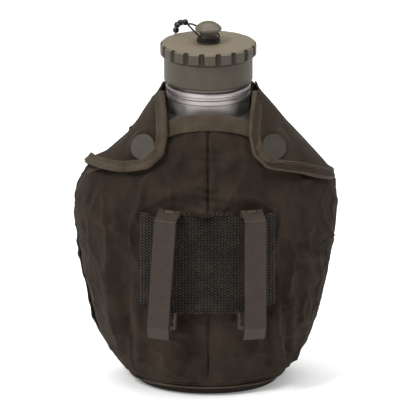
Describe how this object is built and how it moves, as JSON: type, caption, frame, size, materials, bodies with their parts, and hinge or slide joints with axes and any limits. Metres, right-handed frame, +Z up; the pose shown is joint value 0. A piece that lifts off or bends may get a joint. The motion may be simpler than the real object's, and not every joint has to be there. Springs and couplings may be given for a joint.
{
  "type": "field canteen in belt cover",
  "caption": "Wide-mouth aluminium canteen with a screw cap on a ball chain, in a fabric cover with snap flaps, a webbing panel and two belt clips.",
  "frame": {"origin": "middle of the cover's flat base, on the bottle neck's axis", "axes": "+Z up along the neck, -Y towards the side with the belt clips, X across the width"},
  "size_m": [0.1502, 0.0936, 0.2125],
  "materials": {
    "cover_cloth": "matt woven",
    "binding_tape": "ribbed tape",
    "webbing": "herringbone web",
    "felt": "pressed felt",
    "bottle_metal": "satin",
    "cap_plastic": "moulded",
    "black_plastic": "moulded",
    "seal": "soft",
    "chain_metal": "blackened",
    "snap_paint": "baked enamel",
    "snap_metal": "oxidised",
    "clip_paint": "baked enamel"
  },
  "bodies": {
    "cover": {"bottle_body": "bottle_metal", "neck_ring": "bottle_metal", "chain_end_ring": "chain_metal", "chain_balls": "chain_metal", "chain_links": "chain_metal", "front_panel_left": "cover_cloth", "front_panel_right": "cover_cloth", "back_panel": "cover_cloth", "felt_lining": "felt", "base_pad": "felt", "bottom_panel": "cover_cloth", "bottom_binding": "binding_tape", "front_binding": "binding_tape", "back_binding": "binding_tape", "web_panel": "webbing", "left_snap_stud": "snap_metal", "right_snap_stud": "snap_metal", "left_snap_eyelet": "snap_metal", "right_snap_eyelet": "snap_metal", "left_clip_leg": "clip_paint", "right_clip_leg": "clip_paint"},
    "cap_tether": {"chain_loop": "chain_metal", "knob_washer": "black_plastic"},
    "cap": {"cap_shell": "cap_plastic", "cap_gasket": "seal", "cap_knob": "cap_plastic"},
    "left_flap": {"left_flap": "cover_cloth", "left_flap_binding": "binding_tape", "left_snap_cap": "snap_paint", "left_snap_socket": "snap_metal"},
    "left_clip": {"left_clip_bar": "clip_paint", "left_clip_pin": "clip_paint"},
    "left_lock": {"left_clip_lock": "clip_paint"},
    "right_flap": {"right_flap": "cover_cloth", "right_flap_binding": "binding_tape", "right_snap_cap": "snap_paint", "right_snap_socket": "snap_metal"},
    "right_clip": {"right_clip_bar": "clip_paint", "right_clip_pin": "clip_paint"},
    "right_lock": {"right_clip_lock": "clip_paint"}
  },
  "joints": [
    {"name": "cap_lift", "type": "slide", "parent": "cover", "child": "cap_tether", "axis": [0, 0, 1], "range_m": [0, 0.01805], "deforming": ["chain_balls", "chain_links"]},
    {"name": "cap_turn", "type": "hinge", "parent": "cap_tether", "child": "cap", "pos_m": [0, 0, 0.19], "axis": [0, 0, 1], "range_deg": [0, 1080]},
    {"name": "left_flap_fold", "type": "hinge", "parent": "cover", "child": "left_flap", "pos_m": [-0.072, 0, 0.1268], "axis": [-0.6623, 0, -0.7493], "range_deg": [0, 150]},
    {"name": "right_flap_fold", "type": "hinge", "parent": "cover", "child": "right_flap", "pos_m": [0.072, 0, 0.1268], "axis": [-0.6623, 0, 0.7493], "range_deg": [0, 150]},
    {"name": "left_clip_swing", "type": "hinge", "parent": "cover", "child": "left_clip", "pos_m": [-0.02201, -0.0439, 0.11116], "axis": [-0.976, 0.2079, 0.0648], "range_deg": [0, 60]},
    {"name": "left_lock_slide", "type": "slide", "parent": "left_clip", "child": "left_lock", "axis": [0.0663, 0, 0.9978], "range_m": [0, 0.009]},
    {"name": "right_clip_swing", "type": "hinge", "parent": "cover", "child": "right_clip", "pos_m": [0.02434, -0.0439, 0.1112], "axis": [-0.9781, -0.2079, 0], "range_deg": [0, 60]},
    {"name": "right_lock_slide", "type": "slide", "parent": "right_clip", "child": "right_lock", "axis": [0, 0, 1], "range_m": [0, 0.009]}
  ],
  "couplings": [
    {"joint": "cap_lift", "follows": "cap_turn", "m_per_rad": 0.00095493}
  ]
}
